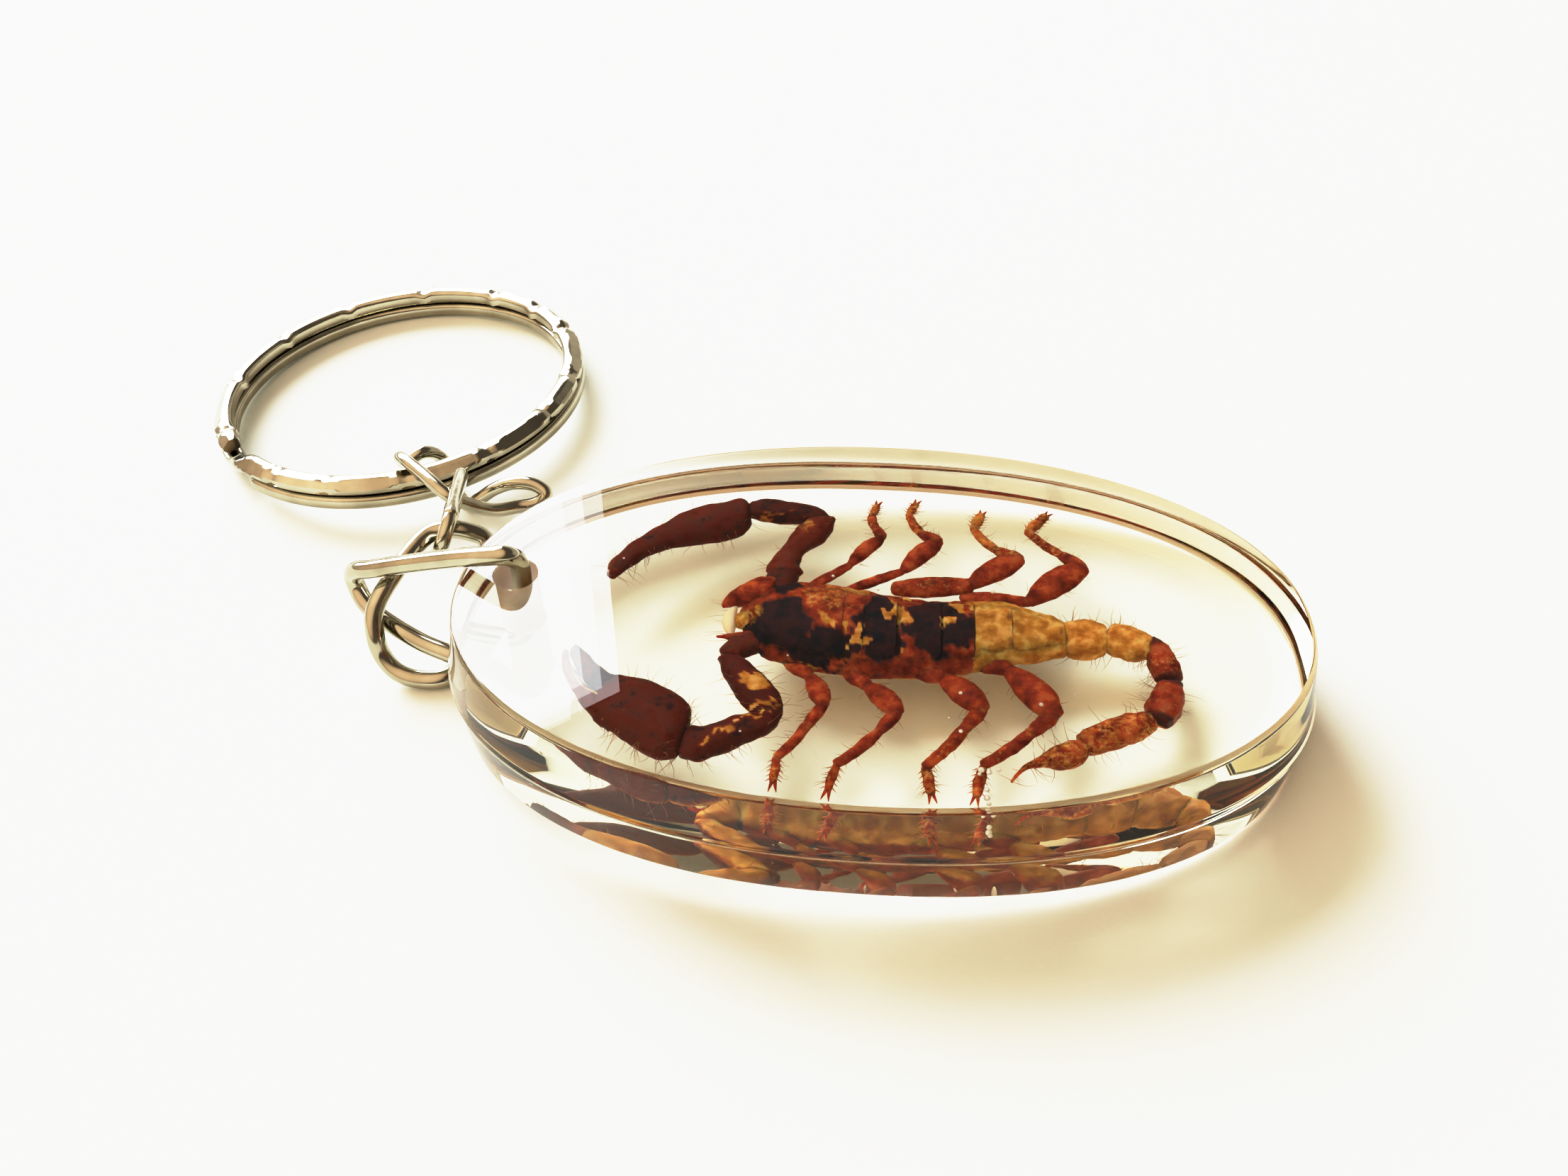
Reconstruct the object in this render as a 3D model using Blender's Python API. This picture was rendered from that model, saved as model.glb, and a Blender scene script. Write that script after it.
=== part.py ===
# Scorpion in an oval block of clear resin, with a wire bail, chain links and a split ring.
# Everything is laid out in millimetres on a flat table and written out in metres.
import bpy
import bmesh
import math
from mathutils import Matrix, Vector

MM = 0.001

# Block
BLOCK_LENGTH = 54.0
BLOCK_WIDTH = 32.0
BLOCK_THICK = 7.9
RIDGE_OUT = 0.75
BASE_OUT = 0.2
RIDGE_Z = 3.9
OVAL_POWER = 2.25
EDGE_ROUND = 0.35
HALF_GAP = 0.3
BLOCK_LEAN = 2.2
HOLE_X, HOLE_Y, HOLE_RADIUS = -23.4, 1.4, 1.4
POCKET_CLEAR = 0.46

# Metal
BAIL_WIRE = 1.3
LINK_WIRE = 1.3
THIN_WIRE = 1.05
RING_OUTER = 31.4
RING_BAND = 1.65
COIL_HEIGHT = 1.22
COIL_GAP = 0.14
RING_X, RING_Y = -41.7, 32.7
RING_LEAN = 2.75
RING_LEAN_TOWARDS = -62.0
RING_STEP_AT = -133.0
RING_STEP_SPAN = 16.0

# The table origin sits under the middle of the whole object
CENTRE_X, CENTRE_Y = -14.77, 15.85


def clear_scene():
    for ob in list(bpy.data.objects):
        bpy.data.objects.remove(ob, do_unlink=True)


def material(name, colour, metallic=0.0, rough=0.3, alpha=1.0, clear=0.0):
    mat = bpy.data.materials.new(name)
    mat.use_nodes = True
    shader = mat.node_tree.nodes["Principled BSDF"]
    shader.inputs["Base Color"].default_value = (*colour, 1.0)
    shader.inputs["Metallic"].default_value = metallic
    shader.inputs["Roughness"].default_value = rough
    shader.inputs["Alpha"].default_value = alpha
    shader.inputs["Transmission Weight"].default_value = clear
    shader.inputs["IOR"].default_value = 1.5
    return mat


def object_from(name, bm, mat=None):
    bmesh.ops.recalc_face_normals(bm, faces=bm.faces[:])
    mesh = bpy.data.meshes.new(name)
    bm.to_mesh(mesh)
    bm.free()
    ob = bpy.data.objects.new(name, mesh)
    bpy.context.scene.collection.objects.link(ob)
    if mat:
        mesh.materials.append(mat)
    return ob


def smooth_path(points, per_span, closed=False):
    # Rounded path through the given points, with any extra values carried along
    pts = [list(p) for p in points]
    count = len(pts)
    out = []
    for i in range(count if closed else count - 1):
        if closed:
            a, b, c, d = (pts[(i + k) % count] for k in (-1, 0, 1, 2))
        else:
            a, b, c, d = (pts[min(max(i + k, 0), count - 1)] for k in (-1, 0, 1, 2))
        for s in range(per_span):
            t = s / per_span
            out.append([0.5 * (2 * q + (r - p) * t + (2 * p - 5 * q + 4 * r - w) * t * t
                               + (3 * q - p - 3 * r + w) * t ** 3) for p, q, r, w in zip(a, b, c, d)])
    if not closed:
        out.append(pts[-1])
    return out


def tube(name, points, radius=None, closed=False, sides=8, mat=None):
    # Round bar along the points. A fourth value in a point is its own radius
    curve = bpy.data.curves.new(name, "CURVE")
    curve.dimensions = "3D"
    curve.bevel_depth = 1.0
    curve.bevel_resolution = (sides - 4) // 2
    curve.use_fill_caps = True
    line = curve.splines.new("POLY")
    line.points.add(len(points) - 1)
    line.use_cyclic_u = closed
    for slot, p in zip(line.points, points):
        slot.co = (p[0], p[1], p[2], 1.0)
        slot.radius = radius if radius else p[3]
    holder = bpy.data.objects.new(name, curve)
    bpy.context.scene.collection.objects.link(holder)
    deps = bpy.context.evaluated_depsgraph_get()
    mesh = bpy.data.meshes.new_from_object(holder.evaluated_get(deps))
    bpy.data.objects.remove(holder, do_unlink=True)
    bm = bmesh.new()
    bm.from_mesh(mesh)
    bmesh.ops.remove_doubles(bm, verts=bm.verts[:], dist=0.0005)
    return object_from(name, bm, mat)


def boolean(target, tools, how):
    # All the tools act in one step, and are then removed
    group = bpy.data.collections.new("cutters")
    for tool in tools:
        tool.hide_render = True
        tool.display_type = "WIRE"
        group.objects.link(tool)
    mod = target.modifiers.new(how, "BOOLEAN")
    mod.operation = how
    mod.solver = "EXACT"
    mod.use_self = True
    mod.operand_type = "COLLECTION"
    mod.collection = group
    deps = bpy.context.evaluated_depsgraph_get()
    mesh = bpy.data.meshes.new_from_object(target.evaluated_get(deps))
    mats = [m for m in target.data.materials]
    target.modifiers.clear()
    target.data = mesh
    target.data.materials.clear()
    for m in mats:
        target.data.materials.append(m)
    for tool in tools:
        bpy.data.objects.remove(tool, do_unlink=True)
    bpy.data.collections.remove(group)


def oval_ring(bm, a, b, z, steps=64):
    ring = bmesh.ops.create_circle(bm, segments=steps, radius=1.0)["verts"]
    for v in ring:
        ang = math.atan2(v.co.y, v.co.x)
        c, s = math.cos(ang), math.sin(ang)
        v.co = (a * math.copysign(abs(c) ** (2 / OVAL_POWER), c),
                b * math.copysign(abs(s) ** (2 / OVAL_POWER), s), z)
    return ring


def oval_slab(name, levels, mat):
    bm = bmesh.new()
    rings = [oval_ring(bm, a, b, z) for z, a, b in levels]
    for low, high in zip(rings, rings[1:]):
        edges = [e for e in bm.edges if all(v in low for v in e.verts) or all(v in high for v in e.verts)]
        bmesh.ops.bridge_loops(bm, edges=edges)
    for ring in (rings[0], rings[-1]):
        bmesh.ops.contextual_create(bm, geom=[e for e in bm.edges if all(v in ring for v in e.verts)])
    return object_from(name, bm, mat)


# ---------------------------------------------------------------- specimen
# Points are x, y, height and radius in the flat block's own millimetres

MID = 4.0
TRUNK = [
    (-8.7, 0.6, MID, 0.55), (-7.7, 0.5, MID, 1.9), (-6.4, 0.4, MID, 3.0), (-4.0, 0.2, MID, 3.5),
    (-1.5, 0.0, MID, 3.75), (1.5, -0.2, MID, 3.7), (4.5, -0.1, MID, 3.3), (6.8, 0.3, MID, 2.8),
    (9.0, 0.3, MID, 2.45), (10.8, 0.1, MID, 2.0), (12.1, 0.05, MID, 1.35)]
TRUNK_FLAT = 0.55
TAIL = [
    (11.6, 0.05, MID, 1.0), (12.2, 0.0, MID, 1.3), (13.4, -0.05, MID, 1.55), (14.5, 0.0, MID, 1.25),
    (14.9, 0.0, MID, 1.0), (15.4, -0.05, MID, 1.25), (16.3, -0.25, MID, 1.3), (17.1, -0.45, MID, 1.0),
    (17.6, -1.0, MID, 0.95), (17.95, -2.3, MID, 1.12), (18.15, -3.3, MID, 0.88), (18.05, -4.2, MID, 1.05),
    (17.6, -5.3, MID, 1.1), (17.15, -6.2, MID, 0.85), (16.5, -6.75, MID, 0.98), (15.1, -7.5, MID, 1.15),
    (13.6, -8.35, MID, 1.05), (12.85, -8.75, MID, 0.62), (12.3, -9.05, MID, 0.85), (11.5, -9.5, MID, 0.98),
    (10.6, -9.95, MID, 0.68), (9.7, -10.3, MID, 0.32), (8.85, -10.8, MID, 0.18), (8.35, -11.6, MID, 0.07)]
FAR_ARM = [
    (-6.6, 2.6, MID, 0.9), (-6.5, 4.3, MID, 1.0), (-6.3, 5.6, MID, 0.95), (-5.7, 7.0, MID, 1.0),
    (-4.9, 8.5, MID, 1.15), (-4.2, 9.7, MID, 0.95), (-4.4, 10.6, MID, 0.8), (-5.6, 10.8, MID, 0.95),
    (-7.2, 10.85, MID, 1.1), (-8.5, 10.9, MID, 0.85), (-9.2, 10.7, MID, 0.6), (-9.7, 10.2, MID, 1.35),
    (-10.8, 9.9, MID, 1.85), (-12.6, 9.2, MID, 1.7), (-14.3, 8.3, MID, 1.35), (-15.7, 7.1, MID, 1.0),
    (-16.9, 5.8, MID, 0.85), (-17.7, 4.5, MID, 0.62), (-17.85, 3.6, MID, 0.25)]
NEAR_ARM = [
    (-7.2, -0.6, MID, 0.8), (-8.3, -1.6, MID, 0.8), (-8.8, -2.9, MID, 0.9), (-8.2, -4.4, MID, 1.05),
    (-7.2, -5.7, MID, 1.15), (-6.3, -6.8, MID, 0.9), (-6.2, -7.9, MID, 0.8), (-7.0, -8.6, MID, 1.05),
    (-8.4, -9.5, MID, 1.25), (-9.8, -10.2, MID, 1.1), (-10.8, -10.35, MID, 0.6), (-11.6, -9.8, MID, 1.45),
    (-12.8, -8.95, MID, 2.15), (-14.5, -8.0, MID, 2.05), (-16.2, -6.9, MID, 1.5), (-17.7, -5.5, MID, 1.1),
    (-18.8, -4.1, MID, 0.75), (-19.2, -3.0, MID, 0.28)]
ARM_FLAT = 0.72
LEGS = [
    [(-4.6, 3.0, 3.7, 0.5), (-3.2, 5.1, 4.1, 0.42), (-1.8, 5.7, 4.2, 0.4), (-0.7, 6.7, 4.5, 0.58),
     (0.1, 8.0, 4.7, 0.42), (0.1, 8.9, 4.6, 0.4), (-0.1, 10.0, 4.2, 0.38), (-0.5, 11.3, 3.7, 0.26),
     (-0.4, 12.2, 3.5, 0.27), (-0.25, 13.1, 3.3, 0.1)],
    [(-2.0, 3.0, 3.7, 0.5), (-0.2, 5.05, 4.0, 0.4), (1.7, 5.4, 4.2, 0.4), (2.8, 6.8, 4.5, 0.72),
     (3.8, 8.1, 4.7, 0.48), (3.5, 8.9, 4.6, 0.46), (2.6, 10.2, 4.2, 0.4), (1.95, 11.4, 3.7, 0.28),
     (2.25, 12.4, 3.5, 0.28), (2.5, 13.5, 3.3, 0.1)],
    [(1.5, 3.2, 3.7, 0.7), (3.6, 4.2, 4.0, 0.65), (5.7, 4.3, 4.2, 0.5), (7.3, 5.6, 4.5, 0.86),
     (8.9, 6.6, 4.7, 0.52), (8.6, 7.5, 4.6, 0.5), (7.4, 9.0, 4.2, 0.4), (6.45, 10.3, 3.7, 0.32),
     (6.75, 11.4, 3.5, 0.35), (7.1, 12.5, 3.3, 0.12)],
    [(5.2, 2.6, 3.7, 0.6), (7.4, 3.7, 4.0, 0.5), (9.7, 3.0, 4.2, 0.45), (11.4, 4.7, 4.5, 0.95),
     (13.1, 6.2, 4.7, 0.52), (12.7, 7.0, 4.6, 0.5), (11.5, 8.5, 4.2, 0.42), (10.15, 10.2, 3.7, 0.3),
     (10.75, 11.3, 3.5, 0.36), (11.6, 12.4, 3.3, 0.12)],
    [(-4.9, -2.6, 3.7, 0.6), (-3.9, -4.6, 4.1, 0.6), (-3.3, -6.0, 4.5, 0.62), (-2.9, -7.0, 4.7, 0.42),
     (-3.4, -7.9, 4.6, 0.42), (-4.3, -9.2, 4.2, 0.38), (-5.35, -10.7, 3.7, 0.28), (-5.35, -11.8, 3.5, 0.27),
     (-5.35, -13.0, 3.3, 0.1)],
    [(-1.4, -3.0, 3.7, 0.6), (-0.3, -5.0, 4.1, 0.6), (0.6, -6.3, 4.5, 0.7), (1.45, -7.2, 4.7, 0.46),
     (1.0, -8.1, 4.6, 0.45), (-0.2, -9.5, 4.2, 0.4), (-1.6, -10.95, 3.7, 0.32), (-1.95, -12.1, 3.5, 0.29),
     (-2.2, -13.4, 3.3, 0.1)],
    [(2.6, -2.6, 3.7, 0.7), (4.2, -4.2, 4.1, 0.7), (5.4, -5.2, 4.5, 0.84), (6.5, -6.4, 4.7, 0.5),
     (6.1, -7.3, 4.6, 0.5), (4.8, -9.1, 4.2, 0.42), (3.45, -10.8, 3.7, 0.34), (3.65, -11.9, 3.5, 0.33),
     (3.8, -13.2, 3.3, 0.12)],
    [(6.0, -1.8, 3.7, 0.7), (8.2, -2.9, 4.1, 0.7), (9.4, -4.6, 4.5, 0.98), (10.9, -6.6, 4.7, 0.54),
     (10.2, -7.5, 4.6, 0.5), (8.5, -9.1, 4.2, 0.43), (6.75, -10.5, 3.7, 0.36), (6.55, -11.8, 3.5, 0.33),
     (6.3, -13.2, 3.3, 0.12)]]
JAWS = [
    [(-7.6, 1.6, MID, 1.1), (-8.6, 2.0, MID, 0.95), (-9.5, 1.7, MID, 0.35)],
    [(-7.4, -0.9, MID, 0.7), (-8.8, -1.3, MID, 0.42), (-9.8, -1.35, MID, 0.12)]]


def grown(points, extra, sides):
    # Same path a little fatter and a little longer at both ends
    pts = [(x, y, z, (r + extra) / math.cos(math.pi / sides)) for x, y, z, r in points]
    for end, inner in ((0, 1), (-1, -2)):
        a, b = Vector(pts[end][:3]), Vector(pts[inner][:3])
        a = a + (a - b).normalized() * extra
        pts[end] = (a.x, a.y, a.z, pts[end][3])
    return pts


def flatten(ob, factor, keep=0.0):
    # Thins a piece about its middle height, keeping any clearance at full size
    for v in ob.data.vertices:
        v.co.z = MID + (v.co.z - MID) * factor + math.copysign(keep, v.co.z - MID) * (abs(v.co.z - MID) > 0.05)


def specimen_pieces(extra=0.0, fine=True, mat=None):
    # Trunk first, then tail, arms, legs and jaws. The coarse set is grown by the extra clearance
    round_sides, arm_sides, limb_sides = (14, 10, 8) if fine else (8, 8, 6)
    pieces = [(TRUNK, round_sides, TRUNK_FLAT), (TAIL, arm_sides, 0.9)]
    pieces += [(FAR_ARM, arm_sides, ARM_FLAT), (NEAR_ARM, arm_sides, ARM_FLAT)]
    pieces += [(p, limb_sides, None) for p in LEGS + JAWS]
    made = []
    for i, (points, sides, flat) in enumerate(pieces):
        ob = tube("piece_%d" % i, grown(points, extra, sides) if extra else points, sides=sides, mat=mat)
        if flat:
            flatten(ob, flat, extra * (1 - flat))
        made.append(ob)
    return made


# ---------------------------------------------------------------- resin halves

def resin_half(name, low, high, mat):
    a, b = BLOCK_LENGTH / 2, BLOCK_WIDTH / 2
    r = EDGE_ROUND

    def out(z):
        if z >= RIDGE_Z:
            return RIDGE_OUT * (BLOCK_THICK - z) / (BLOCK_THICK - RIDGE_Z)
        return BASE_OUT + (RIDGE_OUT - BASE_OUT) * z / RIDGE_Z
    if low == 0.0:
        steps = [(0.0, -r), (r * 0.3, -r * 0.3), (r, 0.0), (high, 0.0)]
    else:
        steps = [(low, 0.0), (BLOCK_THICK - r, 0.0), (BLOCK_THICK - r * 0.3, -r * 0.3), (BLOCK_THICK, -r)]
    half = oval_slab(name, [(z, a + out(z) + d, b + out(z) + d) for z, d in steps], mat)
    # The pocket for the specimen and the bail's hole are cut together
    pocket = specimen_pieces(POCKET_CLEAR, fine=False)
    bm = bmesh.new()
    bmesh.ops.create_cone(bm, cap_ends=True, segments=24, radius1=HOLE_RADIUS, radius2=HOLE_RADIUS,
                          depth=30.0, matrix=Matrix.Translation((HOLE_X, HOLE_Y, 4.0)))
    boolean(half, pocket + [object_from(name + "_hole", bm)], "DIFFERENCE")
    return half


# ---------------------------------------------------------------- bail, links and ring
# Paths are in table millimetres: the bail is open, its two ends butting inside the hole

BAIL_PATH = [
    (-23.1, 1.35, 6.0), (-22.95, 1.6, 8.0), (-22.8, 1.75, 9.7), (-22.75, 1.4, 11.0), (-23.2, 0.95, 11.85),
    (-24.3, 1.05, 11.7), (-26.7, 1.8, 10.8), (-30.5, 2.95, 9.2), (-34.1, 4.0, 7.6), (-35.5, 4.6, 6.9),
    (-36.3, 5.15, 5.9), (-36.3, 5.1, 4.9), (-35.7, 4.4, 4.0), (-34.5, 3.6, 3.35), (-31.5, 2.0, 2.75),
    (-29.2, 1.1, 2.5), (-28.3, 1.0, 2.2), (-27.2, 0.9, 1.3), (-25.4, 0.85, 0.9), (-24.0, 0.9, 0.85),
    (-23.35, 1.0, 1.4), (-23.2, 1.1, 2.6), (-23.15, 1.3, 5.4)]
BAIL_LINK_PATH = [
    (-31.4, 0.2, 0.72), (-33.0, 0.6, 1.0), (-34.0, 1.2, 2.0), (-34.3, 1.75, 3.5), (-34.25, 2.8, 4.9),
    (-33.4, 4.7, 6.0), (-32.4, 7.0, 6.6), (-31.5, 8.5, 6.85), (-30.3, 9.0, 6.85), (-29.0, 9.2, 6.5),
    (-27.8, 9.2, 5.6), (-27.6, 7.6, 4.0), (-28.1, 5.2, 2.3), (-28.7, 3.2, 1.1), (-29.0, 1.6, 0.7),
    (-29.7, 0.4, 0.68)]
MIDDLE_LINK_ENDS = ((-30.35, 8.85, 6.95), (-31.9, 15.2, 4.65))
MIDDLE_LINK_ACROSS = (0.40, 0.25, 0.88)
MIDDLE_LINK_HALF_WIDTH = 1.6
BAIL_PIVOT = (-23.1, 1.4, 5.9)
BAIL_LINK_PIVOT = (-34.8, 3.4, 4.2)
JUMP_RING_PATH = [
    (-37.55, 20.5, 3.6), (-37.4, 19.6, 4.85), (-36.45, 18.5, 5.35), (-35.2, 17.4, 5.35), (-33.6, 15.95, 5.3),
    (-32.3, 15.05, 4.9), (-31.0, 15.4, 3.7), (-29.6, 16.2, 2.5), (-28.2, 17.3, 1.9), (-26.7, 17.8, 1.9),
    (-25.9, 18.2, 2.5), (-26.9, 18.7, 3.0), (-28.6, 18.85, 3.0), (-30.2, 18.8, 2.4), (-31.5, 18.75, 1.5),
    (-32.6, 19.0, 0.75), (-33.7, 20.2, 0.58), (-34.5, 21.6, 0.62), (-35.0, 22.5, 1.6), (-35.6, 22.3, 3.0),
    (-36.4, 21.5, 3.8)]


def middle_link_path():
    # Flat oval round one wire at each end
    near, far = (Vector(p) for p in MIDDLE_LINK_ENDS)
    along = (far - near).normalized()
    across = Vector(MIDDLE_LINK_ACROSS)
    across = (across - along * across.dot(along)).normalized()
    w = MIDDLE_LINK_HALF_WIDTH
    out = []
    for centre, start in ((far, 90.0), (near, 270.0)):
        for k in range(7):
            ang = math.radians(start - 30.0 * k)
            out.append(tuple(centre + along * w * math.cos(ang) + across * w * math.sin(ang)))
    return out


def split_ring(mat):
    # One flat-sided wire wound twice round, with a short step from the lower coil to the upper
    half_w, half_h = RING_BAND / 2, COIL_HEIGHT / 2
    mean = RING_OUTER / 2 - half_w
    bm = bmesh.new()
    end = bmesh.ops.create_circle(bm, segments=8, radius=1.0, cap_ends=True)["verts"]
    for v in end:
        x, y = v.co.x, v.co.y
        v.co = (mean + half_w * math.copysign(abs(x) ** 0.8, x), 0.0,
                half_h + half_h * math.copysign(abs(y) ** 0.8, y))
    step = COIL_HEIGHT + COIL_GAP
    face = bm.faces[:]
    geom = face + bm.edges[:] + bm.verts[:]
    long_turn = math.radians(360.0 - RING_STEP_SPAN)
    short_turn = math.radians(RING_STEP_SPAN)
    for turn, steps, rise in ((long_turn, 40, 0.0), (short_turn, 4, step), (long_turn, 40, 0.0)):
        made = bmesh.ops.spin(bm, geom=geom, cent=(0, 0, 0), axis=(0, 0, 1), dvec=(0, 0, rise / steps),
                              angle=turn, steps=steps, use_duplicate=False)
        geom = made["geom_last"]
    bmesh.ops.remove_doubles(bm, verts=bm.verts[:], dist=0.0005)
    return object_from("split_ring", bm, mat)


def split_ring_placing():
    # Turned so that its step is at the far left, and leaning where the jump ring lies under it
    start = math.radians(RING_STEP_AT + RING_STEP_SPAN / 2)
    towards = math.radians(RING_LEAN_TOWARDS)
    lean_axis = Vector((-math.sin(towards), math.cos(towards), 0))
    low_side = Vector((-math.cos(towards), -math.sin(towards), 0)) * (RING_OUTER / 2)
    lean = (Matrix.Translation(low_side) @ Matrix.Rotation(-math.radians(RING_LEAN), 4, lean_axis)
            @ Matrix.Translation(-low_side))
    return Matrix.Translation((RING_X, RING_Y, 0)) @ lean @ Matrix.Rotation(start, 4, "Z")


def place(ob, origin, placing=Matrix.Identity(4), parent=None):
    # Millimetre mesh to metres, with the object's own origin on its joint's axis
    origin = Vector(origin)
    ob.data.transform(Matrix.Scale(MM, 4) @ Matrix.Translation(-origin))
    ob.data.name = ob.name
    if parent:
        ob.parent = parent
        return
    table = Matrix.Translation((-CENTRE_X, -CENTRE_Y, 0.0)) @ placing @ Matrix.Translation(origin)
    place_at, turn, _ = table.decompose()
    ob.location = place_at * MM
    ob.rotation_mode = "QUATERNION"
    ob.rotation_quaternion = turn


def main():
    clear_scene()
    resin = material("clear_resin", (0.97, 0.96, 0.9), rough=0.03, alpha=0.35, clear=1.0)
    resin_low = material("clear_resin_base", (0.97, 0.96, 0.9), rough=0.03, alpha=0.35, clear=1.0)
    shell = material("dried_shell", (0.12, 0.035, 0.012), rough=0.35)
    nickel = [material(n, (0.78, 0.74, 0.66), metallic=1.0, rough=0.12)
              for n in ("bail_nickel", "bail_link_nickel", "middle_link_nickel", "jump_ring_nickel", "ring_nickel")]

    top = resin_half("resin_top", RIDGE_Z + HALF_GAP / 2, BLOCK_THICK, resin)
    bottom = resin_half("resin_bottom", 0.0, RIDGE_Z - HALF_GAP / 2, resin_low)
    pieces = specimen_pieces(mat=shell)
    scorpion = pieces[0]
    boolean(scorpion, pieces[1:], "UNION")
    scorpion.name = "scorpion"
    # The hole end rides on the bail's lower arm, so the block leans about its far lower edge
    pivot = (BLOCK_LENGTH / 2 + BASE_OUT, 0.0, 0.0)
    block = bpy.data.objects.new("block_lean", None)
    bpy.context.scene.collection.objects.link(block)
    block.location = ((pivot[0] - CENTRE_X) * MM, (pivot[1] - CENTRE_Y) * MM, 0.0)
    block.rotation_euler = (0.0, math.radians(BLOCK_LEAN), 0.0)
    for ob in (top, bottom, scorpion):
        place(ob, pivot, parent=block)

    bail = tube("bail", smooth_path(BAIL_PATH, 2), BAIL_WIRE / 2, mat=nickel[0])
    bail_link = tube("bail_link", smooth_path(BAIL_LINK_PATH, 2, True), LINK_WIRE / 2, True, mat=nickel[1])
    middle_link = tube("middle_link", middle_link_path(), THIN_WIRE / 2, True, mat=nickel[2])
    jump_ring = tube("jump_ring", smooth_path(JUMP_RING_PATH, 2, True), THIN_WIRE / 2, True, mat=nickel[3])
    place(bail, BAIL_PIVOT)
    place(bail_link, BAIL_LINK_PIVOT)
    place(middle_link, MIDDLE_LINK_ENDS[0])
    place(jump_ring, MIDDLE_LINK_ENDS[1])
    place(split_ring(nickel[4]), (0.0, 0.0, 0.0), split_ring_placing())

    parts = bpy.data.collections.new("scorpion_in_resin_block")
    bpy.context.scene.collection.children.link(parts)
    for ob in list(bpy.context.scene.collection.objects):
        bpy.context.scene.collection.objects.unlink(ob)
        parts.objects.link(ob)
        if ob.type == "MESH":
            ob.data.shade_smooth()
            ob.data.set_sharp_from_angle(angle=math.radians(35.0))


main()
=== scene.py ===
import math
import random

import bmesh
import bpy
from mathutils import Matrix, Vector, noise


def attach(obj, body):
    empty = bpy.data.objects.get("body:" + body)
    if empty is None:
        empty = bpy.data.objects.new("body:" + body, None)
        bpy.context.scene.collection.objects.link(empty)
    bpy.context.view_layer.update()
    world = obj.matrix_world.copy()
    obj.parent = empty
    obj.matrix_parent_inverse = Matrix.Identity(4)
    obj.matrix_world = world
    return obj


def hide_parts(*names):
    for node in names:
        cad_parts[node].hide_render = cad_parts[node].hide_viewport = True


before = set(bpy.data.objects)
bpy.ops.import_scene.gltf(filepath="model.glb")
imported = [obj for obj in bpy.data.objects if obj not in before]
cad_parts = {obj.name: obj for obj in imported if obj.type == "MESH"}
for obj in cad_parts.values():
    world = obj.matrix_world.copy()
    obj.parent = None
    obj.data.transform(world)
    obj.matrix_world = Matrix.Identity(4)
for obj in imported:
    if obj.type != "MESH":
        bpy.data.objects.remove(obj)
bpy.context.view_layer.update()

# Everything is laid out in millimetres. The block lies a little tilted, because its drilled
# end rides on the bail, so the block and the specimen share one placing of their own.
MM = 0.001
UP = Vector((0.0, 0.0, 1.0))
ON_TABLE = Matrix.Scale(MM, 4) @ Matrix.Translation((14.77, -15.85, 0.0))
LOW_EDGE = Vector((27.2, 0.0, 0.0))
IN_BLOCK = (ON_TABLE @ Matrix.Translation(LOW_EDGE) @ Matrix.Rotation(math.radians(2.2), 4, "Y")
            @ Matrix.Translation(-LOW_EDGE))


# ------------------------------------------------------------------ modelling helpers

def held(share):
    """The share, kept between none and all"""
    return max(0.0, min(1.0, share))


def glide(rows, steps, closed=False):
    """Rounded run through the rows of numbers, with so many steps to each span"""
    count = len(rows)
    run = []
    for i in range(count if closed else count - 1):
        if closed:
            near = [rows[(i + k) % count] for k in (-1, 0, 1, 2)]
        else:
            near = [rows[min(max(i + k, 0), count - 1)] for k in (-1, 0, 1, 2)]
        for s in range(steps):
            t = s / steps
            run.append([0.5 * (2 * q + (r - p) * t + (2 * p - 5 * q + 4 * r - w) * t * t
                               + (3 * q - p - 3 * r + w) * t ** 3) for p, q, r, w in zip(*near)])
    if not closed:
        run.append(list(rows[-1]))
    return run


def loft(sections, sides, closed=False, square=1.0, capped=True, into=None):
    """Skin through sections, each a centre, its two half-width vectors and sometimes a power of its own.

    A power below 1, in a section or as square, makes the section boxier.
    """
    bm = into or bmesh.new()
    ring = bmesh.ops.create_circle(bm, segments=sides, radius=1.0)["verts"]
    edges = list(dict.fromkeys(e for v in ring for e in v.link_edges))
    unit = [v.co.copy() for v in ring]

    def settle(verts, section):
        centre, side, top = section[:3]
        power = section[3] if len(section) > 3 else square
        for v, u in zip(verts, unit):
            v.co = (centre + side * math.copysign(abs(u.x) ** power, u.x)
                    + top * math.copysign(abs(u.y) ** power, u.y))

    settle(ring, sections[0])
    first, first_edges = ring, edges
    for section in sections[1:]:
        made = bmesh.ops.extrude_edge_only(bm, edges=edges)["geom"]
        fresh = {g for g in made if isinstance(g, bmesh.types.BMVert)}
        edges = [g for g in made if isinstance(g, bmesh.types.BMEdge) and set(g.verts) <= fresh]
        ring = [next(e.other_vert(v) for e in v.link_edges if e.other_vert(v) in fresh) for v in ring]
        settle(ring, section)
    if not capped:
        return first_edges, edges
    if closed:
        bmesh.ops.bridge_loops(bm, edges=first_edges + edges)
    else:
        bmesh.ops.contextual_create(bm, geom=first_edges)
        bmesh.ops.contextual_create(bm, geom=edges)
    bmesh.ops.recalc_face_normals(bm, faces=bm.faces[:])
    return bm


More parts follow.
